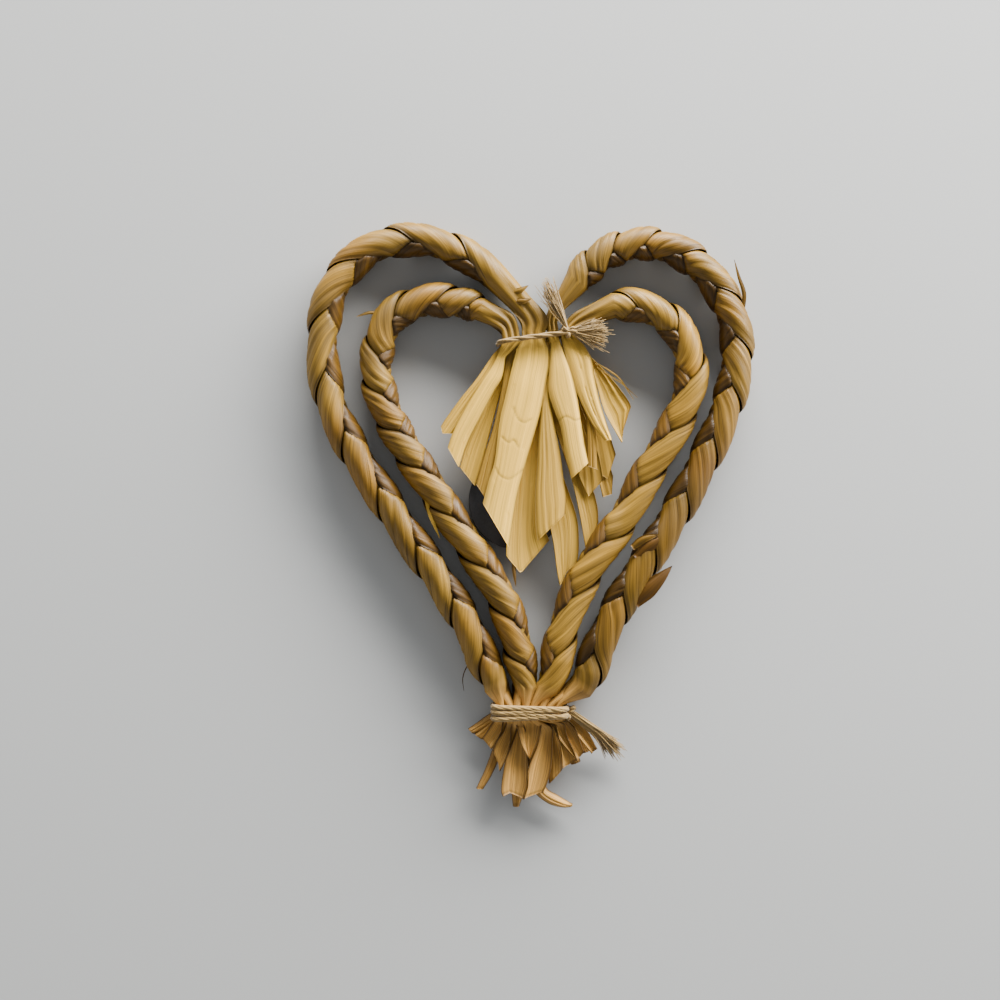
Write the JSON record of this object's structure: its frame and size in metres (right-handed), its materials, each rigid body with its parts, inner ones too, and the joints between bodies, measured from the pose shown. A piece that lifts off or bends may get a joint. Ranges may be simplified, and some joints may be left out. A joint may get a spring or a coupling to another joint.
{
  "type": "straw heart ornament",
  "caption": "Heart of plaited flat straws, tied with twine into a cut straw fan above and a short tassel below, with a round disc magnet on its back.",
  "frame": {"origin": "centre of the magnet's flat back face, on the surface that the ornament lies on", "axes": "+X to the viewer's right, +Y towards the heart's lobes, +Z out of the front, away from the magnet"},
  "size_m": [0.0834, 0.1089, 0.0074],
  "materials": {
    "straw": "silky split and flattened straw, golden brown on the plaits and pale cream gold on the fan",
    "twine": "pale natural twine, two strands, frayed at its ends",
    "magnet_ferrite": "near-black sintered ferrite, satin"
  },
  "bodies": {
    "root": {"outer_left_straw_1": "straw", "outer_left_straw_2": "straw", "outer_left_straw_3": "straw", "outer_left_straw_4": "straw", "inner_left_straw_1": "straw", "inner_left_straw_2": "straw", "inner_left_straw_3": "straw", "inner_left_straw_4": "straw", "inner_right_straw_1": "straw", "inner_right_straw_2": "straw", "inner_right_straw_3": "straw", "inner_right_straw_4": "straw", "outer_right_straw_1": "straw", "outer_right_straw_2": "straw", "outer_right_straw_3": "straw", "outer_right_straw_4": "straw", "lower_tie_twine": "twine", "upper_tie_twine": "twine", "magnet": "magnet_ferrite"}
  },
  "joints": []
}
